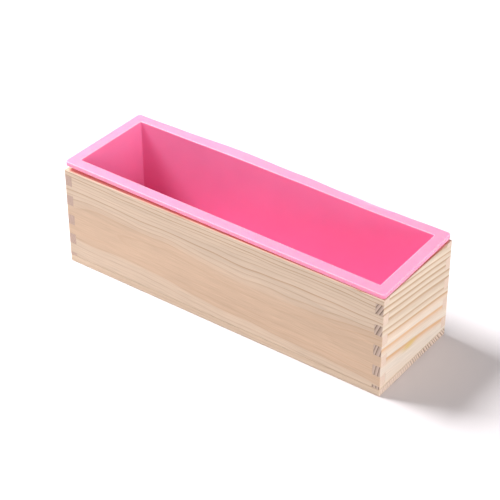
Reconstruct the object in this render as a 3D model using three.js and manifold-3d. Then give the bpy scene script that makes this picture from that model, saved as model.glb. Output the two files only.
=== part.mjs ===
// Soap loaf mould: a finger-jointed pine box with a lift-out silicone liner.
//
// Millimetres, +Z up. The origin is on the resting surface, under the middle of the box.
// +X runs along the loaf, and the front is the long side that faces -Y.

import * as THREE from 'three';
import { mergeVertices } from 'three/addons/utils/BufferGeometryUtils.js';
import Module from 'manifold-3d';

// Box
const BOX_LENGTH = 280;
const BOX_WIDTH = 88;
const WALL_HEIGHT = 75.7;
const PANEL_THICKNESS = 6.5;
const BASE_THICKNESS = 6;

// Corner joints: the end panels' first finger starts this far below the top of the walls,
// and fingers and gaps of one height follow each other down to the base.
const FIRST_FINGER_DROP = 4.5;
const FINGER_HEIGHT = 8.6;
const SMALLEST_FINGER = 1;

// Liner
const LINER_WALL = 2.4;
const LINER_FLOOR = 3;
const LINER_CORNER_RADIUS = 2;
const CAVITY_CORNER_RADIUS = 0.8;
const RIM_THICKNESS = 3.4;
const RIM_CORNER_RADIUS = 3;

// Clearances
const GLUE_LINE = 0.1; // between two glued boards
const LINER_SIDE_CLEARANCE = 0.35; // between the liner's body and each wall of the box
const LINER_FLOOR_CLEARANCE = 0.2; // between the liner's underside and the base board
const RIM_HOVER = 0.8; // between the rim's underside and the top of the walls
const RIM_INSET = 0.5; // how far the rim's edge stays inside the box's outer faces

// Places that follow from the sizes
const WALL_BOTTOM = BASE_THICKNESS + GLUE_LINE;
const LINER_BOTTOM = BASE_THICKNESS + LINER_FLOOR_CLEARANCE;
const RIM_BOTTOM = WALL_BOTTOM + WALL_HEIGHT + RIM_HOVER;
const LINER_LENGTH = BOX_LENGTH - 2 * (PANEL_THICKNESS + LINER_SIDE_CLEARANCE);
const LINER_WIDTH = BOX_WIDTH - 2 * (PANEL_THICKNESS + LINER_SIDE_CLEARANCE);

const CORNER_SEGMENTS = 6;
const CUT_MARGIN = 1; // how far a cutter passes beyond the face it cuts through

const wasm = await Module();
wasm.setup();

// Turns a closed geometry into a solid that can be cut and joined.
function solidFrom(geometry) {
  geometry.deleteAttribute('normal');
  geometry.deleteAttribute('uv');
  const merged = mergeVertices(geometry);
  const mesh = new wasm.Mesh({
    numProp: 3,
    vertProperties: new Float32Array(merged.attributes.position.array),
    triVerts: new Uint32Array(merged.index.array),
  });
  return new wasm.Manifold(mesh);
}

// Turns a solid back into a flat-shaded geometry.
function geometryFrom(solid) {
  const { vertProperties, triVerts } = solid.getMesh();
  const geometry = new THREE.BufferGeometry();
  geometry.setAttribute('position', new THREE.BufferAttribute(vertProperties, 3));
  geometry.setIndex(new THREE.BufferAttribute(triVerts, 1));
  const flat = geometry.toNonIndexed();
  flat.computeVertexNormals();
  return flat;
}

// A block centred on X and Y that stands on the given height.
function blockSolid(length, width, bottom, height) {
  const block = new THREE.BoxGeometry(length, width, height);
  block.translate(0, 0, bottom + height / 2);
  return solidFrom(block);
}

// An upright block with rounded corners, centred on X and Y.
function roundedBlockSolid(length, width, radius, bottom, height) {
  const x = length / 2 - radius;
  const y = width / 2 - radius;
  const outline = new THREE.Shape();
  outline.absarc(x, y, radius, 0, Math.PI / 2);
  outline.absarc(-x, y, radius, Math.PI / 2, Math.PI);
  outline.absarc(-x, -y, radius, Math.PI, 1.5 * Math.PI);
  outline.absarc(x, -y, radius, 1.5 * Math.PI, 2 * Math.PI);
  const block = new THREE.ExtrudeGeometry(outline, {
    depth: height,
    bevelEnabled: false,
    curveSegments: CORNER_SEGMENTS,
  });
  block.translate(0, 0, bottom);
  return solidFrom(block);
}

// The heights [low, high] that fingers take at a corner, measured from the walls' lower edge.
// The long panels own the finger at the top, and then the two kinds of panel take turns.
function fingerBands() {
  const bands = { longPanel: [], endPanel: [] };
  let owner = 'longPanel';
  let top = WALL_HEIGHT;
  let bottom = WALL_HEIGHT - FIRST_FINGER_DROP;
  while (top > 0) {
    if (bottom < SMALLEST_FINGER) bottom = 0;
    bands[owner].push([bottom, top]);
    owner = owner === 'longPanel' ? 'endPanel' : 'longPanel';
    top = bottom;
    bottom = top - FINGER_HEIGHT;
  }
  return bands;
}

// A wall panel that lies along X, with both ends cut away where the crossing panels' fingers pass.
function panelGeometry(span, crossingBands) {
  let panel = blockSolid(span, PANEL_THICKNESS, 0, WALL_HEIGHT);
  const notchDepth = PANEL_THICKNESS + GLUE_LINE;
  for (const [low, high] of crossingBands) {
    const bottom = low > 0 ? low - GLUE_LINE / 2 : -CUT_MARGIN;
    const top = high < WALL_HEIGHT ? high + GLUE_LINE / 2 : WALL_HEIGHT + CUT_MARGIN;
    const cutter = blockSolid(2 * notchDepth, PANEL_THICKNESS + 2 * CUT_MARGIN, bottom, top - bottom);
    for (const side of [-1, 1]) {
      panel = panel.subtract(cutter.translate([(side * span) / 2, 0, 0]));
    }
  }
  return geometryFrom(panel);
}

// The liner: a deep tray with a flat rim turned outwards, measured from its own underside.
function linerGeometry() {
  const rimBottom = RIM_BOTTOM - LINER_BOTTOM;
  const rimTop = rimBottom + RIM_THICKNESS;
  const body = roundedBlockSolid(LINER_LENGTH, LINER_WIDTH, LINER_CORNER_RADIUS, 0, rimTop);
  const rim = roundedBlockSolid(
    BOX_LENGTH - 2 * RIM_INSET,
    BOX_WIDTH - 2 * RIM_INSET,
    RIM_CORNER_RADIUS,
    rimBottom,
    RIM_THICKNESS,
  );
  const cavity = roundedBlockSolid(
    LINER_LENGTH - 2 * LINER_WALL,
    LINER_WIDTH - 2 * LINER_WALL,
    CAVITY_CORNER_RADIUS,
    LINER_FLOOR,
    rimTop - LINER_FLOOR + CUT_MARGIN,
  );
  return geometryFrom(body.add(rim).subtract(cavity));
}

function namedMesh(name, geometry, material) {
  const mesh = new THREE.Mesh(geometry, material);
  mesh.name = name;
  return mesh;
}

function woodMaterial(color) {
  return new THREE.MeshStandardMaterial({ color, roughness: 0.72, metalness: 0 });
}

function woodenBox() {
  const box = new THREE.Group();
  const bands = fingerBands();

  const base = namedMesh(
    'base_board',
    new THREE.BoxGeometry(BOX_LENGTH, BOX_WIDTH, BASE_THICKNESS),
    woodMaterial('#dcbf9f'),
  );
  base.position.z = BASE_THICKNESS / 2;
  box.add(base);

  const walls = new THREE.Group();
  walls.position.z = WALL_BOTTOM;
  box.add(walls);

  for (const [name, side] of [['front_panel', -1], ['rear_panel', 1]]) {
    const panel = namedMesh(name, panelGeometry(BOX_LENGTH, bands.endPanel), woodMaterial('#ddc0a7'));
    panel.position.y = (side * (BOX_WIDTH - PANEL_THICKNESS)) / 2;
    walls.add(panel);
  }
  for (const [name, side] of [['left_end_panel', -1], ['right_end_panel', 1]]) {
    const panel = namedMesh(name, panelGeometry(BOX_WIDTH, bands.longPanel), woodMaterial('#ecd9c4'));
    panel.rotation.z = Math.PI / 2;
    panel.position.x = (side * (BOX_LENGTH - PANEL_THICKNESS)) / 2;
    walls.add(panel);
  }
  return box;
}

function siliconeLiner() {
  const silicone = new THREE.MeshStandardMaterial({ color: '#fb6f9e', roughness: 0.45, metalness: 0 });
  const liner = namedMesh('silicone_liner', linerGeometry(), silicone);
  liner.position.z = LINER_BOTTOM;
  return liner;
}

const mould = new THREE.Group();
mould.add(woodenBox(), siliconeLiner());

export default mould;
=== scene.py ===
"""Soap loaf mould: a finger-jointed pine box with a lift-out silicone liner.

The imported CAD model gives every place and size. Each board and the liner is rebuilt here as a
finished piece that replaces its CAD node. Blender units are metres; sizes given in millimetres
are turned into metres with MM. +X runs along the loaf, -Y is the front, +Z is up.
"""

import logging
import math
from dataclasses import dataclass, field
from enum import Enum
from typing import Any

import bmesh
import bpy
from mathutils import Matrix, Vector


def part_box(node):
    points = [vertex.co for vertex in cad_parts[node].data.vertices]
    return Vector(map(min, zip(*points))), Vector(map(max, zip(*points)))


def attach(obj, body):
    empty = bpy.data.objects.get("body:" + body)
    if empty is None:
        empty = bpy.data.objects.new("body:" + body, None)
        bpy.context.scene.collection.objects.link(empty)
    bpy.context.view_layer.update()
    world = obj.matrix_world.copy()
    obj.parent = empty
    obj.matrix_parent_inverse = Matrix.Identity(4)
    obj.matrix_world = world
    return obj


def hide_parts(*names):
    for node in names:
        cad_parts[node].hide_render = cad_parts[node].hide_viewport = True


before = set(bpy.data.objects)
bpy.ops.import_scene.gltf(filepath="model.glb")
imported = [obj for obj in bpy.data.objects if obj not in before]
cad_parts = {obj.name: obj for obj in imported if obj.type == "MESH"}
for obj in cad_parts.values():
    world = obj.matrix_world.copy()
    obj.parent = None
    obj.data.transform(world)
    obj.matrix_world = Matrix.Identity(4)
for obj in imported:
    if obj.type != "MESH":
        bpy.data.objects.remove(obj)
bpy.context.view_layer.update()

MM = 0.001
SAME_PLACE = 0.01 * MM
ZONE = "zone"
FACING = 0.8  # a face whose normal has this much of a direction faces that way
FULL_SWING = 4.0  # noise strays about a quarter to each side of its middle, and this makes that 1

# Growth rings, the same on every board
RINGS_PER_SEED = 20  # how many rings on each seed starts in the run of uneven rings
UNEVEN_PACE = 0.43  # how often the rings' width changes, per ring
UNEVEN_SHIFT = 1.1  # how far that moves them, in rings
LATEWOOD_DEPTHS = ((2.0, 0.07), (1.1, 0.4), (0.5, 1.0), (0.2, 0.9))  # latewood widths in, and shade
LEVEL_BLEND = 0.1  # share of height over which the log's lower half turns into its upper half
HEART_EDGE = 0.6  # how far outside its radius the heartwood ends for good, in mm
CALM_FADE = (0.5, 1.2)  # where the lines are calmest and where they are whole, as shares of calm
BOLD_FADE = 12.0  # half the distance over which bold rings on a cut end turn faint, in mm
FAINT_SHARE = 0.3  # what is left of them there

# Upright stretches of the liner's wall have stations near their ends, so that the curves stay round
UPRIGHT_STATIONS = (0.03, 0.2, 0.4, 0.6, 0.8, 0.97)

log = logging.getLogger("soap_loaf_mould")


def linear_colour(hex_colour: str) -> tuple[float, float, float, float]:
    """Turn an sRGB hex colour into linear RGBA.

    Args:
        hex_colour: Six hex digits with a leading hash.

    Returns:
        The linear red, green, blue and an alpha of 1.
    """
    channels = [int(hex_colour[i:i + 2], 16) / 255 for i in (1, 3, 5)]
    linear = [c / 12.92 if c <= 0.04045 else ((c + 0.055) / 1.055) ** 2.4 for c in channels]
    return (*linear, 1.0)


def add_node(
    tree: bpy.types.NodeTree,
    kind: str,
    inputs: dict[str | int, Any] | None = None,
    **settings: Any,
) -> bpy.types.Node:
    """Add a node, set its properties, and set or link its inputs.

    Args:
        tree: The node tree that gets the node.
        kind: The node's type, such as ShaderNodeMath.
        inputs: Socket name or index to a value, or to the output socket that feeds it.
        **settings: Properties of the node itself.

    Returns:
        The new node.
    """
    node = tree.nodes.new(kind)
    for name, value in settings.items():
        setattr(node, name, value)
    for key, value in (inputs or {}).items():
        if isinstance(value, bpy.types.NodeSocket):
            tree.links.new(value, node.inputs[key])
        else:
            node.inputs[key].default_value = value
    return node


def new_material(name: str) -> tuple[bpy.types.Material, bpy.types.NodeTree]:
    """Make an empty node material.

    Args:
        name: The material's name.

    Returns:
        The material and its cleared node tree.
    """
    material = bpy.data.materials.new(name)
    material.use_nodes = True
    material.node_tree.nodes.clear()
    return material, material.node_tree


def piece_from(bm: bmesh.types.BMesh, name: str) -> bpy.types.Object:
    """Turn a finished bmesh into an object at the origin and link it to the scene.

    Args:
        bm: The shape, in metres in the CAD frame. It is freed.
        name: The piece's name.

    Returns:
        The new object.
    """
    mesh = bpy.data.meshes.new(name)
    bm.to_mesh(mesh)
    bm.free()
    piece = bpy.data.objects.new(name, mesh)
    bpy.context.scene.collection.objects.link(piece)
    return piece


class Cut(Enum):
    """Which way a face of a board cuts the wood's fibres."""

    LONG_GRAIN = 0
    END_GRAIN = 1


@dataclass(frozen=True)
class LogPlace:
    """Where in the log a board was sawn from, which settles how its growth rings run.

    Attributes:
        pith: A point on the log's centre line, in mm in the CAD frame.
        grain: The direction of the fibres.
        ring_width: The width of one growth ring, in mm.
        heart_radius: Radius of the darker heartwood, in mm, or 0 for a board of sapwood only.
        heart_blend: How softly the heartwood ends, in mm, below and above the log's centre.
        bold_radius: Rings further out than this are faint on the cut ends, in mm, or 0 for all bold.
        wander: How far the rings stray from true circles, in mm.
        wander_length: The length of one such stray along the grain, in mm.
        wander_height: Its height across the grain, in mm.
        latewood_share: The share of a ring that is latewood.
        faintest: The mark of the faintest ring as a share of the boldest one's.
        seed: Picks one pattern of strays.
    """

    pith: tuple[float, float, float]
    grain: tuple[float, float, float]
    ring_width: float
    heart_radius: float = 0.0
    heart_blend: tuple[float, float] = (1.2, 1.2)
    bold_radius: float = 0.0
    wander: float = 2.0
    wander_length: float = 140.0
    wander_height: float = 60.0
    latewood_share: float = 0.26
    faintest: float = 0.4
    seed: float = 0.0


@dataclass(frozen=True)
class ResinStain:
    """A small yellow stain where resin has soaked into the wood.

    Attributes:
        centre: Its middle, in mm in the CAD frame.
        reach: How far it spreads along X, Y and Z, in mm.
        colour: Its colour.
        core: The share of its reach that it fills fully.
        strength: How much of the wood's own colour it hides there.
    """

    centre: tuple[float, float, float]
    reach: tuple[float, float, float]
    colour: str = "#d6b872"
    core: float = 0.1
    strength: float = 0.8


@dataclass(frozen=True)
class RingField:
    """The growth rings at a point of a board, as shader sockets.

    Attributes:
        radius: The distance from the log's centre, in mm.
        level: The height above the log's centre as a share of that distance, -1 to 1.
        late: The amount of latewood, 0 to 1.
    """

    radius: bpy.types.NodeSocket
    level: bpy.types.NodeSocket
    late: bpy.types.NodeSocket


@dataclass(frozen=True)
class PineFinish:
    """Bare pine, planed and sanded: pale earlywood with thin, darker latewood lines.

    The eye gets soft honey-coloured lines along the board, silky short fibres between them,
    a matt surface, and a greyer, rougher face wherever the fibres are cut across.

    Attributes:
        sapwood: Colour of the wide spring growth.
        heartwood: The same nearer the log's centre.
        latewood: Colour of the thin summer growth.
        heart_latewood: The same nearer the log's centre.
        contrast: How strongly the latewood shows on the long faces, below and above the log's centre.
        calm: Below this share of upright rings, the saw ran along them and the lines fade.
        calm_contrast: Share of the contrast that is left there.
        end_sapwood: Spring growth where it is cut across.
        end_latewood: Summer growth where it is cut across.
        end_contrast: How strongly it shows on the cut ends.
        roughness: Roughness of the sanded face.
        roughness_spread: How much rougher the dips between the fibres are, and the fibres.
        relief: Height of the sanded grain, in mm.
        relief_strength: How strongly it shows on long faces and on cut ends.
        late_relief: How far the hard latewood stands up, as a share of the relief.
        fibre_length: Length of the streaks that the fibres draw, in mm.
        pore_depth: The same along the fibres where they are cut across, in mm.
        fibre_width: Width of the streaks, in mm. The real ones are 0.03 mm.
        drift_size: Length and width of the broad drifts in its tone, in mm.
        drift_share: How much they show beside the streaks.
        streak_range: Usual lowest and highest sum of the two.
        streak_shade: Darkest and lightest streak, as shares of the colour.
        pore_range: Usual lowest and highest value of the pores.
        pore_shade: Darkest and lightest pore, as shares of the colour.
        stain: A resin stain, if the board has one.
    """

    sapwood: str = "#ead2b4"
    heartwood: str = "#dfbf9c"
    latewood: str = "#c59a72"
    heart_latewood: str = "#c59a72"
    contrast: tuple[float, float] = (0.75, 0.75)
    calm: float = 0.3
    calm_contrast: float = 0.5
    end_sapwood: str = "#e3cbb9"
    end_latewood: str = "#b99a86"
    end_contrast: float = 0.4
    roughness: float = 0.62
    roughness_spread: tuple[float, float] = (0.12, -0.08)
    relief: float = 0.08
    relief_strength: tuple[float, float] = (0.35, 0.6)
    late_relief: float = 0.6
    fibre_length: float = 22.0
    pore_depth: float = 2.0
    fibre_width: float = 0.45
    drift_size: tuple[float, float] = (120.0, 9.0)
    drift_share: float = 0.7
    streak_range: tuple[float, float] = (0.55, 1.15)
    streak_shade: tuple[float, float] = (0.84, 1.09)
    pore_range: tuple[float, float] = (0.3, 0.7)
    pore_shade: tuple[float, float] = (0.84, 1.06)
    stain: ResinStain | None = None

    def material(self, name: str, place: LogPlace, cut: Cut) -> bpy.types.Material:
        """Build the wood's material for one board.

        Args:
            name: The material's name.
            place: Where in the log the board comes from.
            cut: Whether the faces run along the fibres or across them.

        Returns:
            The material.
        """
        material, tree = new_material(name)
        in_log = self._in_log(tree, place)
        rings = self._rings(tree, in_log, place)
        fibres = self._fibres(tree, in_log, cut)
        if cut is Cut.LONG_GRAIN:
            colour = self._long_grain_colour(tree, in_log, place, rings, fibres)
        else:
            colour = self._end_grain_colour(tree, place, rings, fibres)
        grain_height = add_node(tree, "ShaderNodeMath", {0: rings.late, 1: self.late_relief, 2: fibres},
                                operation="MULTIPLY_ADD").outputs[0]
        bump = add_node(tree, "ShaderNodeBump", {
            "Height": grain_height,
            "Strength": self.relief_strength[cut.value],
            "Distance": self.relief * MM,
        })
        dips, ridges = self.roughness_spread
        roughness = add_node(tree, "ShaderNodeMapRange", {
            "Value": fibres, "To Min": self.roughness + dips, "To Max": self.roughness + ridges,
        }).outputs[0]
        surface = add_node(tree, "ShaderNodeBsdfPrincipled", {
            "Base Color": colour,
            "Roughness": roughness,
            "IOR": 1.5,
            "Specular IOR Level": 0.3,
            "Normal": bump.outputs["Normal"],
        })
        add_node(tree, "ShaderNodeOutputMaterial", {"Surface": surface.outputs[0]})
        return material

    def _in_log(self, tree: bpy.types.NodeTree, place: LogPlace) -> bpy.types.NodeSocket:
        """Turn a point of the board into the log's own millimetres.

        Args:
            tree: The material's tree.
            place: The board's place in the log.

        Returns:
            The point, with the fibres along X and the log's centre on the X axis.
        """
        turn = Vector(place.grain).rotation_difference(Vector((1, 0, 0))).to_matrix()
        return add_node(tree, "ShaderNodeMapping", {
            "Vector": add_node(tree, "ShaderNodeTexCoord").outputs["Object"],
            "Location": -(turn @ Vector(place.pith)),
            "Rotation": turn.to_euler(),
            "Scale": (1 / MM, 1 / MM, 1 / MM),
        }).outputs["Vector"]

    def _rings(self, tree: bpy.types.NodeTree, in_log: bpy.types.NodeSocket,
               place: LogPlace) -> RingField:
        """Lay the growth rings round the log's centre, with strays.

        Args:
            tree: The material's tree.
            in_log: The place in the log, in mm.
            place: The board's place in the log.

        Returns:
            The rings.
        """
        stretched = add_node(tree, "ShaderNodeVectorMath", {
            0: in_log, 1: (1 / place.wander_length, 1 / place.wander_height, 1 / place.wander_height),
        }, operation="MULTIPLY").outputs[0]
        stray = add_node(tree, "ShaderNodeTexNoise", {
            "Vector": stretched, "W": place.seed, "Scale": 1.0, "Detail": 2.0, "Roughness": 0.4,
        }, noise_dimensions="4D").outputs["Color"]
        centred = add_node(tree, "ShaderNodeVectorMath", {0: stray, 1: (0.5, 0.5, 0.5)},
                           operation="SUBTRACT").outputs[0]
        strayed = add_node(tree, "ShaderNodeVectorMath", {
            0: centred, 1: (0, place.wander * FULL_SWING, place.wander * FULL_SWING), 2: in_log,
        }, operation="MULTIPLY_ADD").outputs[0]
        across = add_node(tree, "ShaderNodeVectorMath", {0: strayed, 1: (0, 1, 1)},
                          operation="MULTIPLY").outputs[0]
        radius = add_node(tree, "ShaderNodeVectorMath", {0: across}, operation="LENGTH").outputs["Value"]
        height = add_node(tree, "ShaderNodeSeparateXYZ", {0: across}).outputs["Z"]
        level = add_node(tree, "ShaderNodeMath", {0: height, 1: radius}, operation="DIVIDE").outputs[0]
        return RingField(radius, level, self._latewood(tree, radius, place))

    def _latewood(self, tree: bpy.types.NodeTree, radius: bpy.types.NodeSocket,
                  place: LogPlace) -> bpy.types.NodeSocket:
        """Shade the rings: each darkens slowly outwards and ends in a sharp edge.

        Args:
            tree: The material's tree.
            radius: The distance from the log's centre, in mm.
            place: The board's place in the log.

        Returns:
            The amount of latewood, 0 to 1.
        """
        even = add_node(tree, "ShaderNodeMath", {
            0: radius, 1: 1 / place.ring_width, 2: RINGS_PER_SEED * place.seed,
        }, operation="MULTIPLY_ADD").outputs[0]
        uneven = add_node(tree, "ShaderNodeTexNoise", {"W": even, "Scale": UNEVEN_PACE, "Detail": 1.0},
                          noise_dimensions="1D").outputs[0]
        ring = add_node(tree, "ShaderNodeMath", {0: uneven, 1: UNEVEN_SHIFT, 2: even},
                        operation="MULTIPLY_ADD").outputs[0]
        within = add_node(tree, "ShaderNodeMath", {0: ring}, operation="FRACT").outputs[0]
        ramp = add_node(tree, "ShaderNodeValToRGB", {"Fac": within})
        stops = ramp.color_ramp.elements
        stops[0].position, stops[0].color = 0.0, (0, 0, 0, 1)
        stops[1].position, stops[1].color = 1.0, (0, 0, 0, 1)
        for depth, shade in LATEWOOD_DEPTHS:
            stops.new(1 - depth * place.latewood_share).color = (shade, shade, shade, 1)
        number = add_node(tree, "ShaderNodeMath", {0: ring}, operation="FLOOR").outputs[0]
        luck = add_node(tree, "ShaderNodeTexWhiteNoise", {"W": number},
                        noise_dimensions="1D").outputs["Value"]
        weight = add_node(tree, "ShaderNodeMapRange", {"Value": luck, "To Min": place.faintest}).outputs[0]
        return add_node(tree, "ShaderNodeMath", {0: ramp.outputs["Color"], 1: weight},
                        operation="MULTIPLY").outputs[0]

    def _fibres(self, tree: bpy.types.NodeTree, in_log: bpy.types.NodeSocket,
                cut: Cut) -> bpy.types.NodeSocket:
        """Draw the fibres: long fine streaks, or pores where they are cut across.

        Real fibres are too fine to show, so they are drawn about fifteen times as coarse.

        Args:
            tree: The material's tree.
            in_log: The place in the log, in mm.
            cut: Which way the faces cut the fibres.

        Returns:
            The streaks, about 0.3 to 0.7.
        """
        length = self.fibre_length if cut is Cut.LONG_GRAIN else self.pore_depth
        per_mm = (1 / length, 1 / self.fibre_width, 1 / self.fibre_width)
        stretched = add_node(tree, "ShaderNodeVectorMath", {0: in_log, 1: per_mm},
                             operation="MULTIPLY").outputs[0]
        return add_node(tree, "ShaderNodeTexNoise", {
            "Vector": stretched, "Scale": 1.0, "Detail": 3.0, "Roughness": 0.6,
        }).outputs[0]

    def _long_grain_colour(
        self,
        tree: bpy.types.NodeTree,
        in_log: bpy.types.NodeSocket,
        place: LogPlace,
        rings: RingField,
        fibres: bpy.types.NodeSocket,
    ) -> bpy.types.NodeSocket:
        """Colour a face that runs along the fibres.

        Args:
            tree: The material's tree.
            in_log: The place in the log, in mm.
            place: The board's place in the log.
            rings: The growth rings.
            fibres: The fibre streaks.

        Returns:
            The colour.
        """
        above = add_node(tree, "ShaderNodeMapRange", {
            "Value": rings.level, "From Min": -LEVEL_BLEND, "From Max": LEVEL_BLEND,
        }).outputs[0]
        blend, contrast = (
            add_node(tree, "ShaderNodeMapRange", {"Value": above, "To Min": low, "To Max": high}).outputs[0]
            for low, high in (place.heart_blend, self.contrast)
        )
        heart_core = add_node(tree, "ShaderNodeMath", {0: place.heart_radius, 1: blend},
                              operation="SUBTRACT").outputs[0]
        heart = add_node(tree, "ShaderNodeMapRange", {
            "Value": rings.radius, "From Min": heart_core, "From Max": place.heart_radius + HEART_EDGE,
            "To Min": 1.0, "To Max": 0.0,
        }, interpolation_type="SMOOTHSTEP").outputs[0]
        ground, lines = (
            add_node(tree, "ShaderNodeMix", {0: heart, 6: linear_colour(outer), 7: linear_colour(inner)},
                     data_type="RGBA").outputs[2]
            for outer, inner in ((self.sapwood, self.heartwood), (self.latewood, self.heart_latewood))
        )
        upright = add_node(tree, "ShaderNodeMath", {0: rings.level}, operation="ABSOLUTE").outputs[0]
        strength = add_node(tree, "ShaderNodeMapRange", {
            "Value": upright, "From Min": self.calm * CALM_FADE[0], "From Max": self.calm * CALM_FADE[1],
            "To Min": self.calm_contrast, "To Max": 1.0,
        }, interpolation_type="SMOOTHSTEP").outputs[0]
        shown = rings.late
        for share in (strength, contrast):
            shown = add_node(tree, "ShaderNodeMath", {0: shown, 1: share}, operation="MULTIPLY").outputs[0]
        lined = add_node(tree, "ShaderNodeMix", {0: shown, 6: ground, 7: lines}, data_type="RGBA").outputs[2]
        if self.stain:
            lined = self._stained(tree, lined, self.stain)
        length, width = self.drift_size
        stretched = add_node(tree, "ShaderNodeVectorMath", {
            0: in_log, 1: (1 / length, 1 / width, 1 / width),
        }, operation="MULTIPLY").outputs[0]
        drifts = add_node(tree, "ShaderNodeTexNoise", {
            "Vector": stretched, "Scale": 1.0, "Detail": 4.0, "Roughness": 0.65,
        }).outputs[0]
        streaks = add_node(tree, "ShaderNodeMath", {0: drifts, 1: self.drift_share, 2: fibres},
                           operation="MULTIPLY_ADD").outputs[0]
        return self._shaded(tree, lined, streaks, self.streak_range, self.streak_shade)

    def _end_grain_colour(self, tree: bpy.types.NodeTree, place: LogPlace, rings: RingField,
                          fibres: bpy.types.NodeSocket) -> bpy.types.NodeSocket:
        """Colour a face that cuts across the fibres.

        Args:
            tree: The material's tree.
            place: The board's place in the log.
            rings: The growth rings.
            fibres: The pores.

        Returns:
            The colour.
        """
        strength = add_node(tree, "ShaderNodeMapRange", {
            "Value": rings.radius,
            "From Min": place.bold_radius - BOLD_FADE,
            "From Max": place.bold_radius + BOLD_FADE,
            "To Min": self.end_contrast,
            "To Max": self.end_contrast * (FAINT_SHARE if place.bold_radius else 1.0),
        }).outputs[0]
        shown = add_node(tree, "ShaderNodeMath", {0: rings.late, 1: strength},
                         operation="MULTIPLY").outputs[0]
        lined = add_node(tree, "ShaderNodeMix", {
            0: shown,
            6: linear_colour(self.end_sapwood),
            7: linear_colour(self.end_latewood),
        }, data_type="RGBA").outputs[2]
        return self._shaded(tree, lined, fibres, self.pore_range, self.pore_shade)

    def _shaded(
        self,
        tree: bpy.types.NodeTree,
        colour: bpy.types.NodeSocket,
        pattern: bpy.types.NodeSocket,
        pattern_range: tuple[float, float],
        shades: tuple[float, float],
    ) -> bpy.types.NodeSocket:
        """Darken and lighten a colour by a pattern.

        Args:
            tree: The material's tree.
            colour: The colour.
            pattern: The pattern.
            pattern_range: The pattern's values that give the darkest and the lightest shade.
            shades: Those shades, as shares of the colour.

        Returns:
            The shaded colour.
        """
        shade = add_node(tree, "ShaderNodeMapRange", {
            "Value": pattern, "From Min": pattern_range[0], "From Max": pattern_range[1],
            "To Min": shades[0], "To Max": shades[1],
        }).outputs[0]
        return add_node(tree, "ShaderNodeMix", {0: 1.0, 6: colour, 7: shade},
                        data_type="RGBA", blend_type="MULTIPLY").outputs[2]

    def _stained(self, tree: bpy.types.NodeTree, colour: bpy.types.NodeSocket,
                 stain: ResinStain) -> bpy.types.NodeSocket:
        """Soak a resin stain into the colour.

        Args:
            tree: The material's tree.
            colour: The clean wood.
            stain: The stain.

        Returns:
            The stained colour.
        """
        spread = [1 / (MM * reach) for reach in stain.reach]
        around = add_node(tree, "ShaderNodeMapping", {
            "Vector": add_node(tree, "ShaderNodeTexCoord").outputs["Object"],
            "Location": [-c / reach for c, reach in zip(stain.centre, stain.reach)],
            "Scale": spread,
        }).outputs["Vector"]
        away = add_node(tree, "ShaderNodeVectorMath", {0: around}, operation="LENGTH").outputs["Value"]
        soaked = add_node(tree, "ShaderNodeMapRange", {
            "Value": away, "From Min": stain.core, "From Max": 1.0, "To Min": stain.strength, "To Max": 0.0,
        }, interpolation_type="SMOOTHSTEP").outputs[0]
        return add_node(tree, "ShaderNodeMix", {0: soaked, 6: colour, 7: linear_colour(stain.colour)},
                        data_type="RGBA").outputs[2]


class Zone(Enum):
    """The zones of the liner that differ in colour, in the order that the colours blend. The colours carry
    painted light and shade: deeper pink in the tray, paler on the rim, palest on its edges.
    """

    TRAY = 0.0
    RIM = 0.5
    EDGE = 1.0


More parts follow.
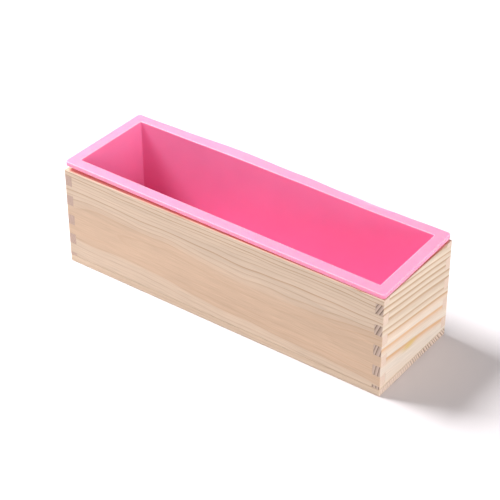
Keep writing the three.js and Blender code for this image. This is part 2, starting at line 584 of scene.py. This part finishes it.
@dataclass(frozen=True)
class SiliconeFinish:
    """Platinum-cured silicone rubber, moulded: soft satin with light bleeding into it.

    The eye gets a milky pink that glows where the rubber is thin, a broad weak highlight, and a skin that is
    never quite flat. Part of that glow is painted light: the rim is painted paler than the tray, whose
    deeper pink is painted shade, and the rim's edges palest as a painted highlight.

    Attributes:
        tray: Colour of the rubber where it lines the box, painted a deeper pink for the shade in the cavity.
        rim: Colour of the free rim, which light enters from all sides: painted light, paler than the tray.
        edge: Colour of the rim's thin rounded edges, paler still: a painted highlight.
        depth: How far red, green and blue light travel inside it, in mm.
        tray_glow: Share of the light that enters the rubber of the tray, which the box backs.
        rim_glow: The same in the free rim.
        roughness: Roughness of the mould's satin texture.
        roughness_spread: How far the roughness strays from that.
        cloud_size: Size of the faint clouds in its colour, in mm.
        cloud_shade: Darkest and lightest cloud, as shares of the colour.
        skin_size: Size of the mould's texture, in mm. The real one is about 0.1 mm.
        skin_relief: Height of the texture, in mm.
        skin_strength: How strongly it shows.
        painted_glow_tint: Colour of the painted glow on the rim's underside, standing in for light that has
            crossed the rim from above.
    """

    # Painted light and shade: the tray's pink is deeper, the rim's paler, and the edges' palest.
    tray: str = "#fd91bf"
    rim: str = "#fd9abb"
    edge: str = "#feb4cc"
    depth: tuple[float, float, float] = (6.0, 0.9, 1.6)
    tray_glow: float = 0.2
    rim_glow: float = 0.6
    roughness: float = 0.42
    roughness_spread: float = 0.06
    cloud_size: float = 30.0
    cloud_shade: tuple[float, float] = (0.96, 1.0)
    skin_size: float = 0.6
    skin_relief: float = 0.03
    skin_strength: float = 0.1
    # Colour of the painted glow on the rim's underside: an emission standing in for light that crosses the
    # rim.
    painted_glow_tint: str = "#ff2a48"

    def material(self, name: str, painted_glow_strength: float = 0.0) -> bpy.types.Material:
        """Build the silicone's material.

        Args:
            name: The material's name.
            painted_glow_strength: How bright the painted glow on these faces is, standing in for light that
                has crossed the rubber.

        Returns:
            The material.
        """
        material, tree = new_material(name)
        coordinates = add_node(tree, "ShaderNodeTexCoord").outputs["Object"]
        in_mm = add_node(tree, "ShaderNodeMapping", {
            "Vector": coordinates, "Scale": (1 / MM, 1 / MM, 1 / MM),
        }).outputs["Vector"]
        clouds, skin = (
            add_node(tree, "ShaderNodeTexNoise", {
                "Vector": in_mm, "Scale": 1 / size, "Detail": 2.0,
            }).outputs[0]
            for size in (self.cloud_size, self.skin_size)
        )
        tint = add_node(tree, "ShaderNodeMapRange", {
            "Value": clouds, "From Min": 0.3, "From Max": 0.7,
            "To Min": self.cloud_shade[0], "To Max": self.cloud_shade[1],
        }).outputs[0]
        zone = add_node(tree, "ShaderNodeAttribute", attribute_name=ZONE).outputs["Fac"]
        # The zone ramp paints light and shade: deeper pink in the tray, paler on the rim, a painted
        # highlight on its edges.
        zones = add_node(tree, "ShaderNodeValToRGB", {"Fac": zone})
        stops = zones.color_ramp.elements
        stops[0].color, stops[1].color = linear_colour(self.tray), linear_colour(self.edge)
        stops.new(Zone.RIM.value).color = linear_colour(self.rim)
        colour = add_node(tree, "ShaderNodeMix", {0: 1.0, 6: zones.outputs["Color"], 7: tint},
                          data_type="RGBA", blend_type="MULTIPLY").outputs[2]
        roughness = add_node(tree, "ShaderNodeMapRange", {
            "Value": skin,
            "To Min": self.roughness - self.roughness_spread,
            "To Max": self.roughness + self.roughness_spread,
        }).outputs[0]
        bump = add_node(tree, "ShaderNodeBump", {
            "Height": skin, "Strength": self.skin_strength, "Distance": self.skin_relief * MM,
        })
        glow = add_node(tree, "ShaderNodeMapRange", {
            "Value": zone, "From Max": Zone.RIM.value, "To Min": self.tray_glow, "To Max": self.rim_glow,
        }).outputs[0]
        surface = add_node(tree, "ShaderNodeBsdfPrincipled", {
            "Base Color": colour,
            "Roughness": roughness,
            "IOR": 1.41,
            "Subsurface Weight": glow,
            "Subsurface Radius": self.depth,
            # Painted glow: a red emission that stands in for light that has crossed the rubber.
            "Subsurface Scale": MM,
            "Emission Color": linear_colour(self.painted_glow_tint),
            "Emission Strength": painted_glow_strength,
            "Normal": bump.outputs["Normal"],
        })
        add_node(tree, "ShaderNodeOutputMaterial", {"Surface": surface.outputs[0]})
        return material


@dataclass(frozen=True)
class ExposedPlanes:
    """The planes of the finished box that a hand can reach.

    Attributes:
        top: Height of the walls' top.
        outer: Distance from the middle to the outer faces, along X and along Y.
        inner: The same to the inner faces of the walls.
    """

    top: float
    outer: tuple[float, float]
    inner: tuple[float, float]

    @classmethod
    def of_box(cls) -> "ExposedPlanes":
        """Read the planes off the CAD boards.

        Returns:
            The planes.
        """
        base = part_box("base_board")[1]
        return cls(
            top=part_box("front_panel")[1].z,
            outer=(base.x, base.y),
            inner=(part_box("right_end_panel")[0].x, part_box("rear_panel")[0].y),
        )

    def met_by(self, corner: Vector) -> int:
        """Count the planes that a corner of a board lies on.

        Args:
            corner: The corner.

        Returns:
            The count. An inner face is reached only at the walls' top.
        """
        at_top = abs(corner.z - self.top) < SAME_PLACE
        met = int(at_top) + int(abs(corner.z) < SAME_PLACE)
        for reach, outer, inner in zip(corner.xy, self.outer, self.inner):
            met += int(abs(abs(reach) - outer) < SAME_PLACE)
            met += int(at_top and abs(abs(reach) - inner) < SAME_PLACE)
        return met


@dataclass
class PineBoard:
    """One board of the box, with its fingers, its sanded arrises and its own figure.

    Attributes:
        node: The CAD node that the board stands for.
        body: The CAD body that it rides on.
        slot: The record's material slot. It is not used.
        along: The axis of the grain: 0 for X, 1 for Y.
        place: Where in the log the board comes from.
        finish: The wood's finish.
        arris: Radius of the sanded outer edges, in mm.
        arris_segments: Facets in each of them.
        sharp: An edge that turns by more than this is sharp, in degrees.
        flat: Faces that turn by less than this are joined into one, in degrees.
    """

    node: str
    body: str
    slot: str
    along: int
    place: LogPlace
    finish: PineFinish = field(default_factory=PineFinish)
    arris: float = 0.6
    arris_segments: int = 3
    sharp: float = 60.0
    flat: float = 1.0

    def make(self) -> bpy.types.Object:
        """Build, dress and place the board.

        Returns:
            The finished piece.
        """
        bm = self._sawn_board()
        self._sand_arrises(bm)
        self._mark_end_grain(bm)
        piece = piece_from(bm, f"{self.node}.pine")
        for cut in Cut:
            material = self.finish.material(f"{self.node}.sanded_pine_{cut.name.lower()}", self.place, cut)
            piece.data.materials.append(material)
        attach(piece, self.body)
        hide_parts(self.node)
        return piece

    def _end_levels(self) -> tuple[list[float], float]:
        """Read the fingers off the CAD board.

        Returns:
            The heights where fingers start and end on the board's end, from the lowest, and the
            distance from the board's middle to the shoulders between the fingers.
        """
        _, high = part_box(self.node)
        corners = [v.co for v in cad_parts[self.node].data.vertices]
        tip = high[self.along]
        at_tip = {round(c.z / SAME_PLACE) for c in corners if abs(c[self.along] - tip) < SAME_PLACE}
        inside = [c[self.along] for c in corners if c[self.along] < tip - SAME_PLACE]
        return [level * SAME_PLACE for level in sorted(at_tip)], max(inside)

    def _sawn_board(self) -> bmesh.types.BMesh:
        """Saw the board: a plain blank, with fingers drawn out of its ends.

        Returns:
            The board with sharp edges.
        """
        low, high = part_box(self.node)
        levels, shoulder = self._end_levels()
        has_fingers = len(levels) > 2
        size = high - low
        if has_fingers:
            size[self.along] = 2 * shoulder
        bm = bmesh.new()
        blank = Matrix.Translation((low + high) / 2) @ Matrix.Diagonal((*size, 1))
        bmesh.ops.create_cube(bm, size=1.0, matrix=blank)
        if not has_fingers:
            return bm
        for level in levels:
            if low.z + SAME_PLACE < level < high.z - SAME_PLACE:
                bmesh.ops.bisect_plane(bm, geom=[*bm.verts, *bm.edges, *bm.faces],
                                       plane_co=(0, 0, level), plane_no=(0, 0, 1))
        fingers = list(zip(levels[::2], levels[1::2]))
        for side in (-1, 1):
            outwards = Vector((0, 0, 0))
            outwards[self.along] = side
            reach = outwards * (high[self.along] - shoulder)
            for bottom, top in fingers:
                roots = [
                    f for f in bm.faces
                    if f.normal.dot(outwards) > FACING
                    and abs(f.calc_center_median()[self.along] - side * shoulder) < SAME_PLACE
                    and bottom < f.calc_center_median().z < top
                ]
                grown = bmesh.ops.extrude_face_region(bm, geom=roots)["geom"]
                moved = [g for g in grown if isinstance(g, bmesh.types.BMVert)]
                bmesh.ops.translate(bm, vec=reach, verts=moved)
                bmesh.ops.delete(bm, geom=roots, context="FACES_ONLY")
        bmesh.ops.dissolve_limit(bm, angle_limit=math.radians(self.flat), verts=bm.verts, edges=bm.edges)
        return bm

    def _sand_arrises(self, bm: bmesh.types.BMesh) -> None:
        """Round the edges that a hand meets on the finished box, and leave the glued ones crisp.

        Args:
            bm: The sawn board.
        """
        planes = ExposedPlanes.of_box()
        exposed = [
            e for e in bm.edges
            if len(e.link_faces) == 2
            and e.calc_face_angle() > math.radians(self.sharp)
            and all(planes.met_by(v.co) >= 2 for v in e.verts)
        ]
        bmesh.ops.bevel(bm, geom=exposed, offset=self.arris * MM, segments=self.arris_segments,
                        profile=0.5, affect="EDGES", material=-1, clamp_overlap=True)

    def _mark_end_grain(self, bm: bmesh.types.BMesh) -> None:
        """Give the faces that cut across the fibres the end-grain material.

        Args:
            bm: The sanded board.
        """
        for face in bm.faces:
            across = abs(face.normal[self.along]) > FACING
            face.material_index = Cut.END_GRAIN.value if across else Cut.LONG_GRAIN.value


@dataclass(frozen=True)
class Undulation:
    """A smooth rise and fall along a line, given by a few stations.

    Attributes:
        stations: Pairs of place, from -1 at one end to 1 at the other, and value.
    """

    stations: tuple[tuple[float, float], ...]

    def at(self, place: float) -> float:
        """Give the value at a place, easing from each station to the next.

        Args:
            place: From -1 to 1.

        Returns:
            The value there.
        """
        before = self.stations[0]
        for after in self.stations[1:]:
            if place <= after[0]:
                share = max(0.0, (place - before[0]) / (after[0] - before[0]))
                return before[1] + (after[1] - before[1]) * (1 - math.cos(math.pi * share)) / 2
            before = after
        return before[1]


@dataclass(frozen=True)
class Outline:
    """A level rounded rectangle, centred on the box.

    Attributes:
        half_x: Half its length.
        half_y: Half its width.
        radius: Its corner radius.
        height: Its height.
        zone: The zone of the liner that it belongs to.
    """

    half_x: float
    half_y: float
    radius: float
    height: float
    zone: Zone

    def carried_to(self, other: "Outline", point: Vector) -> Vector:
        """Carry a point on this outline to the same place on another one.

        Args:
            other: The outline that the point ends on.
            point: A point on this outline.

        Returns:
            The matching point on the other outline.
        """
        core, other_core = (
            Vector((o.half_x - o.radius, o.half_y - o.radius)) for o in (self, other)
        )
        near = Vector((max(-core.x, min(core.x, point.x)), max(-core.y, min(core.y, point.y))))
        spread = (point.xy - near) * other.radius / self.radius
        return Vector((
            near.x * other_core.x / core.x + spread.x,
            near.y * other_core.y / core.y + spread.y,
            other.height,
        ))


@dataclass
class WallSection:
    """The section of the liner's wall, drawn as a run of outlines.

    Attributes:
        half_x: Half the tray's length over its outer walls.
        half_y: Half its width.
        corner: Radius of the upright corners of the outlines to come.
        arc_steps: Facets in each round stretch.
        outlines: The outlines so far.
    """

    half_x: float
    half_y: float
    corner: float
    arc_steps: int
    outlines: list[Outline] = field(default_factory=list)

    def point(self, zone: Zone, offset: float, height: float) -> None:
        """Add one outline, at this offset outwards from the outer wall and this height."""
        self.outlines.append(Outline(self.half_x + offset, self.half_y + offset, self.corner, height, zone))

    def arc(self, zone: Zone, offset: float, height: float, radius: float, start: int, end: int) -> None:
        """Add a round stretch.

        Args:
            zone: The zone it belongs to.
            offset: Offset of its centre from the outer wall.
            height: Height of its centre.
            radius: Its radius.
            start: Angle of its first outline, in degrees above the outward direction.
            end: Angle of its last outline.
        """
        for step in range(self.arc_steps + 1):
            turn = math.radians(start + (end - start) * step / self.arc_steps)
            self.point(zone, offset + radius * math.cos(turn), height + radius * math.sin(turn))

    def upright(self, zone: Zone, offset: float, start: float, end: float) -> None:
        """Add an upright stretch between two heights, with its outlines closest at its ends."""
        for share in UPRIGHT_STATIONS:
            self.point(zone, offset, start + (end - start) * share)


@dataclass
class SiliconeLiner:
    """The loose moulded tray, as it lies in the box: one end ridden up and the rear wall wavy.

    Attributes:
        node: The CAD node that the liner stands for.
        body: The CAD body that it rides on.
        slot: The record's material slot. It is not used.
        finish: The rubber's finish.
        side_clearance: Gap between the tray and each wall of the box, in mm.
        wall: Thickness of the tray's walls, in mm.
        floor: Thickness of its floor, in mm.
        rim: Thickness of the rim, in mm.
        corner: Radius of the tray's upright corners, in mm.
        cavity_corner: Radius of the cavity's upright corners, in mm.
        foot: Radius along the bottom edges, in mm.
        lip: Radius of the rim's edges, in mm.
        neck: Radius under the rim, where it leaves the wall, in mm.
        arc_steps: Facets in each round stretch of the wall's profile.
        corner_segments: Facets in each upright corner.
        long_cuts: Cuts along each long side, which let it bend.
        short_cuts: Cuts along each short side.
        corner_lifts: How far the rim's corners stand above their seat, in mm, by the signs of X and Y.
        rear_rise: Extra lift along the rear rim, in mm.
        rear_bow: How far the rear wall bows inwards at its top, in mm.
        rear_tilt: How far the rear rim tips towards the cavity, in degrees.
        rear_focus: How quickly the bends of the rear wall fade towards the front.
        rim_start: Height at which the rim's tilt starts, as a share of the whole.
        bow_growth: How the rear wall's bow grows with height.
        underside_painted_glow: Brightness of the painted glow on the rim's underside, standing in for the
            light that crosses the rim.
    """

    node: str = "silicone_liner"
    body: str = "liner"
    slot: str = "pink_silicone"
    finish: SiliconeFinish = field(default_factory=SiliconeFinish)
    side_clearance: float = 0.35
    wall: float = 2.4
    floor: float = 3.0
    rim: float = 3.4
    corner: float = 2.8
    cavity_corner: float = 0.8
    foot: float = 2.2
    lip: float = 0.4
    neck: float = 1.0
    arc_steps: int = 4
    corner_segments: int = 6
    long_cuts: int = 69
    short_cuts: int = 17
    corner_lifts: tuple[tuple[float, float, float], ...] = (
        (-1, -1, 3.0), (-1, 1, 2.7), (1, 1, 1.6), (1, -1, -0.7),
    )
    rear_rise: Undulation = Undulation(
        ((-1, 0), (-0.72, 0.9), (-0.3, 2.3), (0.1, 1.0), (0.3, 0.2), (0.6, 0.0), (1, 0)))
    rear_bow: Undulation = Undulation(
        ((-1, 0), (0.15, 0), (0.42, 1.2), (0.57, 2.2), (0.75, 1.2), (0.93, 0.2), (1, 0)))
    rear_tilt: Undulation = Undulation(
        ((-1, 0), (-0.8, -5), (0.0, -2), (0.3, 4), (0.56, 12), (0.8, 5), (0.95, 0), (1, 0)))
    rear_focus: int = 6
    rim_start: float = 0.85
    bow_growth: float = 1.5
    # Strength of the painted glow on the rim's underside.
    underside_painted_glow: float = 0.4

    def make(self) -> bpy.types.Object:
        """Build, dress and place the liner.

        Returns:
            The finished piece.
        """
        bm = self._moulded_tray()
        self._settle(bm)
        bmesh.ops.recalc_face_normals(bm, faces=bm.faces)
        for face in bm.faces:
            face.smooth = True
        self._mark_underside_for_painted_glow(bm)
        piece = piece_from(bm, f"{self.node}.moulding")
        # The rim's underside gets a second material, which adds a painted red glow.
        for part, painted_glow_strength in (("skin", 0.0), ("rim_underside", self.underside_painted_glow)):
            material = self.finish.material(f"{self.node}.moulded_silicone_{part}", painted_glow_strength)
            piece.data.materials.append(material)
        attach(piece, self.body)
        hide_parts(self.node)
        return piece

    def _profile(self) -> list[Outline]:
        """Follow the wall from the underside, out round the rim and down inside.

        Returns:
            The tray's outline at each station.
        """
        low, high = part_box(self.node)
        gap = self.side_clearance * MM
        half_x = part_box("right_end_panel")[0].x - gap
        half_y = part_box("rear_panel")[0].y - gap
        reach = high.x - half_x
        rim_bottom = high.z - self.rim * MM
        floor = low.z + self.floor * MM
        wall, foot, lip, neck = self.wall * MM, self.foot * MM, self.lip * MM, self.neck * MM
        section = WallSection(half_x, half_y, self.corner * MM, self.arc_steps)
        section.point(Zone.TRAY, -2 * foot, low.z)
        section.arc(Zone.TRAY, -foot, low.z + foot, foot, -90, 0)
        section.upright(Zone.TRAY, 0, low.z + foot, rim_bottom - neck)
        section.arc(Zone.TRAY, neck, rim_bottom - neck, neck, 180, 90)
        section.point(Zone.RIM, reach / 2, rim_bottom)
        section.point(Zone.RIM, reach - 2 * lip, rim_bottom)
        section.arc(Zone.RIM, reach - lip, rim_bottom + lip, lip, -90, 0)
        section.point(Zone.RIM, reach, high.z - 2 * lip)
        section.arc(Zone.EDGE, reach - lip, high.z - lip, lip, 0, 90)
        section.point(Zone.RIM, reach - 2 * lip, high.z)
        section.point(Zone.RIM, reach / 2, high.z)
        section.corner = self.cavity_corner * MM
        section.point(Zone.RIM, -wall + 2 * lip, high.z)
        section.arc(Zone.EDGE, -wall + lip, high.z - lip, lip, 90, 180)
        section.point(Zone.TRAY, -wall, high.z - 2 * lip)
        section.upright(Zone.TRAY, -wall, high.z - 2 * lip, floor + foot)
        section.arc(Zone.TRAY, -wall - foot, floor + foot, foot, 0, -90)
        section.point(Zone.TRAY, -wall - 2 * foot, floor)
        return section.outlines

    def _moulded_tray(self) -> bmesh.types.BMesh:
        """Mould the tray: one outline, drawn along the wall's profile into a closed shell.

        Returns:
            The tray at rest, as it leaves the mould.
        """
        outlines = self._profile()
        first = outlines[0]
        bm = bmesh.new()
        zone = bm.verts.layers.float.new(ZONE)
        half_size = Matrix.Diagonal((first.half_x, first.half_y, 1, 1))
        blank = Matrix.Translation((0, 0, first.height)) @ half_size
        bmesh.ops.create_grid(bm, x_segments=1, y_segments=1, size=1.0, matrix=blank)
        bmesh.ops.bevel(bm, geom=list(bm.verts), offset=first.radius, segments=self.corner_segments,
                        profile=0.5, affect="VERTICES", material=-1)
        bmesh.ops.delete(bm, geom=list(bm.faces), context="FACES_ONLY")
        for half, axis, cuts in ((first.half_x, 0, self.long_cuts), (first.half_y, 1, self.short_cuts)):
            sides = [e for e in bm.edges if abs((e.verts[0].co - e.verts[1].co)[axis]) > half]
            bmesh.ops.subdivide_edges(bm, edges=sides, cuts=cuts)
        bottom = loop = list(bm.edges)
        for old, new in zip(outlines, outlines[1:]):
            grown = bmesh.ops.extrude_edge_only(bm, edges=loop)["geom"]
            loop = [g for g in grown if isinstance(g, bmesh.types.BMEdge)]
            for vertex in {v for e in loop for v in e.verts}:
                vertex.co = old.carried_to(new, vertex.co)
                vertex[zone] = new.zone.value
        for opening in (bottom, loop):
            bmesh.ops.edgeloop_fill(bm, edges=opening)
        return bm

    def _mark_underside_for_painted_glow(self, bm: bmesh.types.BMesh) -> None:
        """Give the rim's underside its own material, with a painted glow.

        The renderer doesn't follow light that crosses the rubber on to the wood below, so a weak red glow,
        painted on as an emission, stands in for it.

        Args:
            bm: The settled tray, with its faces pointing outwards.
        """
        low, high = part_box(self.node)
        middle = (low.z + high.z) / 2
        for face in bm.faces:
            # Faces that point down in the upper half, the rim's underside, get the painted glow material.
            face.material_index = int(face.normal.z < -FACING and face.calc_center_median().z > middle)

    def _settle(self, bm: bmesh.types.BMesh) -> None:
        """Bend the tray the way it lies in the box.

        Args:
            bm: The tray at rest. It is changed in place.
        """
        low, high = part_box(self.node)
        hinge_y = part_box("rear_panel")[0].y
        hinge_z = high.z - self.rim * MM / 2
        for vertex in bm.verts:
            rest = vertex.co.copy()
            along = max(-1.0, min(1.0, rest.x / high.x))
            across = max(-1.0, min(1.0, rest.y / high.y))
            up = max(0.0, (rest.z - low.z) / (high.z - low.z))
            lift = sum(
                amount * (1 + sx * along) * (1 + sy * across) / 4
                for sx, sy, amount in self.corner_lifts
            )
            rear = max(0.0, across) ** self.rear_focus
            in_rim = max(0.0, (up - self.rim_start) / (1 - self.rim_start))
            tilt = math.radians(self.rear_tilt.at(along)) * rear * in_rim
            out, above = rest.y - hinge_y, rest.z - hinge_z
            vertex.co.y += rear * (out * (math.cos(tilt) - 1) - above * math.sin(tilt))
            vertex.co.z += rear * (out * math.sin(tilt) + above * (math.cos(tilt) - 1))
            vertex.co.y -= self.rear_bow.at(along) * MM * rear * up ** self.bow_growth
            vertex.co.z += (lift + self.rear_rise.at(along) * rear) * MM * up


@dataclass(frozen=True)
class Softbox:
    """A square soft light that faces the box.

    Attributes:
        name: The light's name.
        bearing: Where it stands, in degrees: 0 is in front, 90 is to the right.
        height: Its angle above the horizon, in degrees.
        distance: From the box, in metres.
        size: Its side, in metres.
        brightness: The brightness it gives a white surface that faces it.
    """

    name: str
    bearing: float
    height: float
    distance: float
    size: float
    brightness: float


@dataclass
class Studio:
    """White floor, soft light from the left, and the camera.

    Attributes:
        sky: Brightness of the white that surrounds the scene.
        lights: The soft lights.
        azimuth: The camera's bearing in degrees: 0 looks along +Y, 90 along -X.
        elevation: Its height above the horizon, in degrees.
        roll: Its roll, in degrees.
        distance: From the camera to its target, in metres.
        lens: Focal length on a 36 mm sensor, in mm.
        target: The point looked at.
        floor_reach: From the middle of the floor to its edges, in metres.
        floor_colour: Colour of the floor's paper.
    """

    sky: float = 0.34
    lights: tuple[Softbox, ...] = (
        Softbox("key_light", bearing=-80, height=54, distance=1.45, size=0.6, brightness=1.5),
        Softbox("fill_light", bearing=78, height=9, distance=2.0, size=0.6, brightness=0.58),
    )
    azimuth: float = 36.22
    elevation: float = 34.63
    roll: float = -0.16
    distance: float = 1.182
    lens: float = 116.26
    target: tuple[float, float, float] = (-0.00145, -0.00032, 0.04087)
    floor_reach: float = 4.0
    floor_colour: str = "#f2edf0"

    def make(self) -> None:
        """Set up the floor, the lights, the sky and the camera."""
        self._floor()
        self._sky()
        for light in self.lights:
            self._hang(light)
        self._camera()
        bpy.context.scene.view_settings.view_transform = "Standard"

    def _direction(self, bearing: float, height: float) -> Vector:
        """Give the direction towards a bearing and height in degrees, as a unit vector."""
        a, e = math.radians(bearing), math.radians(height)
        return Vector((math.sin(a) * math.cos(e), -math.cos(a) * math.cos(e), math.sin(e)))

    def _floor(self) -> None:
        """Lay a wide, matt, near-white sheet under the box."""
        bm = bmesh.new()
        bmesh.ops.create_grid(bm, x_segments=1, y_segments=1, size=self.floor_reach)
        floor = piece_from(bm, "floor")
        material, tree = new_material("white_paper_sweep")
        surface = add_node(tree, "ShaderNodeBsdfPrincipled", {
            "Base Color": linear_colour(self.floor_colour), "Roughness": 0.9, "Specular IOR Level": 0.1,
        })
        add_node(tree, "ShaderNodeOutputMaterial", {"Surface": surface.outputs[0]})
        floor.data.materials.append(material)

    def _sky(self) -> None:
        """Surround the scene with even white light."""
        world = bpy.data.worlds.new("studio_white")
        world.use_nodes = True
        world.node_tree.nodes.clear()
        background = add_node(world.node_tree, "ShaderNodeBackground", {
            "Color": (1, 1, 1, 1), "Strength": self.sky,
        })
        add_node(world.node_tree, "ShaderNodeOutputWorld", {"Surface": background.outputs[0]})
        bpy.context.scene.world = world

    def _hang(self, softbox: Softbox) -> None:
        """Hang a soft light.

        Args:
            softbox: The light.
        """
        direction = self._direction(softbox.bearing, softbox.height)
        data = bpy.data.lights.new(softbox.name, "AREA")
        data.shape = "SQUARE"
        data.size = softbox.size
        data.energy = softbox.brightness * (math.pi * softbox.distance) ** 2
        light = bpy.data.objects.new(softbox.name, data)
        light.location = direction * softbox.distance
        light.rotation_mode = "QUATERNION"
        light.rotation_quaternion = direction.to_track_quat("Z", "Y")
        bpy.context.scene.collection.objects.link(light)

    def _camera(self) -> None:
        """Place the camera."""
        back = self._direction(self.azimuth, self.elevation)
        bearing = math.radians(self.azimuth)
        level = Vector((math.cos(bearing), math.sin(bearing), 0))
        up = back.cross(level)
        roll = math.radians(self.roll)
        right = level * math.cos(roll) + up * math.sin(roll)
        upright = up * math.cos(roll) - level * math.sin(roll)
        data = bpy.data.cameras.new("camera")
        data.lens = self.lens
        data.sensor_width = 36.0
        data.clip_start, data.clip_end = 0.01, 20.0
        camera = bpy.data.objects.new("camera", data)
        camera.rotation_mode = "QUATERNION"
        camera.rotation_quaternion = Matrix((right, upright, back)).transposed().to_quaternion()
        camera.location = Vector(self.target) + back * self.distance
        bpy.context.scene.collection.objects.link(camera)
        bpy.context.scene.camera = camera


def boards() -> list[PineBoard]:
    """Choose the five boards of the box.

    Returns:
        The boards, from the base up.
    """
    base_low, base_high = (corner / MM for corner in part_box("base_board"))
    left, right, front, rear = base_low.x, base_high.x, base_low.y, base_high.y
    long_panel = PineFinish(
        sapwood="#d8c2ac", heartwood="#d2b59b", latewood="#a97d58", heart_latewood="#b08360",
        contrast=(0.35, 0.76), calm=0.26, calm_contrast=0.2, end_sapwood="#dfc7b6", end_latewood="#c4a793",
    )
    return [
        PineBoard(
            "base_board", "box", "pine_base", 0,
            LogPlace(pith=(0, 110, 60), grain=(1, 0.004, 0), ring_width=2.3, wander=0.8, bold_radius=126,
                     latewood_share=0.36, faintest=0.7, seed=4.0),
            PineFinish(sapwood="#d8c2ab", latewood="#a98262", contrast=(0.2, 0.2),
                       end_sapwood="#e2cbba", end_latewood="#755c4e", end_contrast=1.0),
            arris=0.8,
        ),
        PineBoard(
            "front_panel", "box", "pine_long_panels", 0,
            LogPlace(pith=(0, front + 58.7, 38), grain=(1, -0.014, -0.026), ring_width=1.4,
                     heart_radius=62.5, heart_blend=(0.8, 3.0),
                     wander=1.9, wander_length=110, wander_height=40, latewood_share=0.2, seed=5.0),
            long_panel,
        ),
        PineBoard(
            "rear_panel", "box", "pine_long_panels", 0,
            LogPlace(pith=(0, rear + 45, 20), grain=(1, 0.02, 0.02), ring_width=1.9, wander=2.0, seed=5.0),
            long_panel,
        ),
        PineBoard(
            "left_end_panel", "box", "pine_end_panels", 1,
            LogPlace(pith=(left - 60, 0, 60), grain=(0, 1, 0.05), ring_width=1.6, seed=3.0),
            PineFinish(sapwood="#e3cdb8", latewood="#c19a76",
                       end_sapwood="#c4a99b", end_latewood="#957a6e", end_contrast=0.4),
        ),
        PineBoard(
            "right_end_panel", "box", "pine_end_panels", 1,
            LogPlace(pith=(right + 127.5, 0, -4), grain=(0.014, 1, -0.115), ring_width=2.7,
                     heart_radius=136.9, heart_blend=(3.0, 3.0),
                     wander=0.8, latewood_share=0.38, faintest=0.75, seed=1.0),
            PineFinish(sapwood="#ddccb8", heartwood="#e2d3c4", latewood="#b69272", heart_latewood="#d5a06c",
                       contrast=(0.95, 0.95), calm=0.07, calm_contrast=0.1,
                       end_sapwood="#cfb7a8", end_latewood="#65503f", end_contrast=0.9,
                       stain=ResinStain(centre=(right, -7, 22.5), reach=(8, 14, 4.6))),
        ),
    ]


def main() -> None:
    """Build the box, the liner and the studio in order, and report each piece."""
    logging.basicConfig(level=logging.INFO, format="%(name)s: %(message)s")
    Studio().make()
    for board in boards():
        piece = board.make()
        log.info("%s: %d faces", piece.name, len(piece.data.polygons))
    liner = SiliconeLiner().make()
    log.info("%s: %d faces", liner.name, len(liner.data.polygons))


if __name__ == "__main__":
    main()
